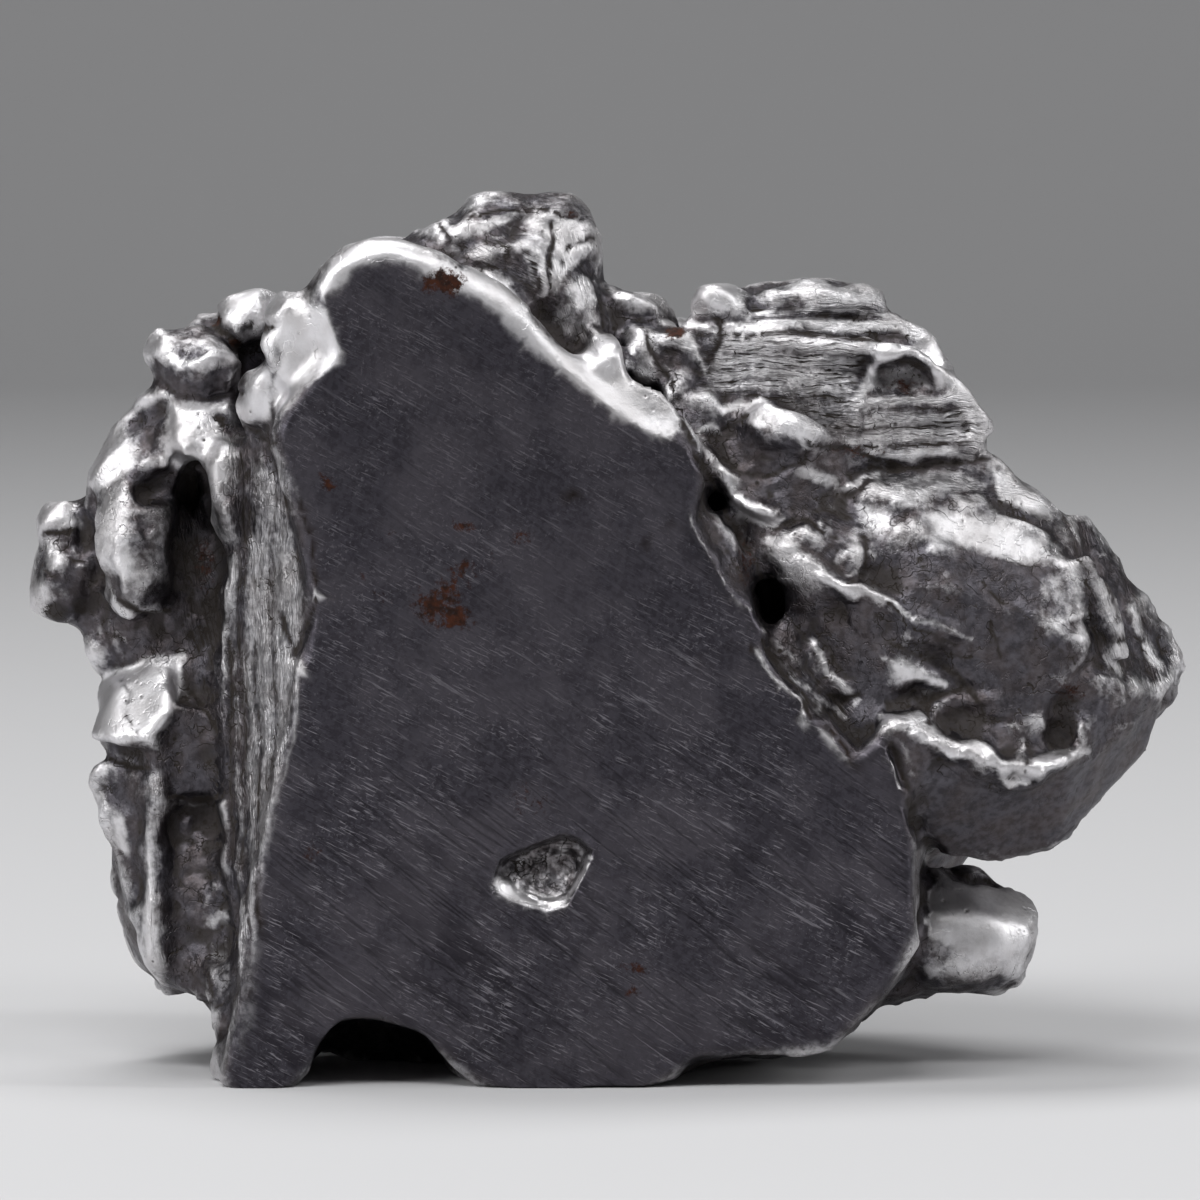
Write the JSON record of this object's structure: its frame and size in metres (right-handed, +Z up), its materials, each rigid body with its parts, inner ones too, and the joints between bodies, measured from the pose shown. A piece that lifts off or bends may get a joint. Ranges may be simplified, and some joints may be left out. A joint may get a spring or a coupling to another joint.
{
  "type": "iron meteorite with a ground face",
  "caption": "Irregular lump of nickel-iron meteorite that stands on its own, with one flat ground face, worn bright ridges, deep crevices and shallow thumbprints.",
  "frame": {"origin": "centre of the bounding box in plan, on the table under the lump", "axes": "+Z up; -Y out of the ground face, towards the viewer; +X to the viewer's right, along the longest extent"},
  "size_m": [0.0414, 0.0206, 0.0314],
  "materials": {
    "nickel_iron": "bare nickel-iron: dark grey satin ground face with fine slanting scratches, bright worn ridges, brown-black crevices, small rust spots"
  },
  "bodies": {
    "root": {"meteorite": "nickel_iron"}
  },
  "joints": []
}
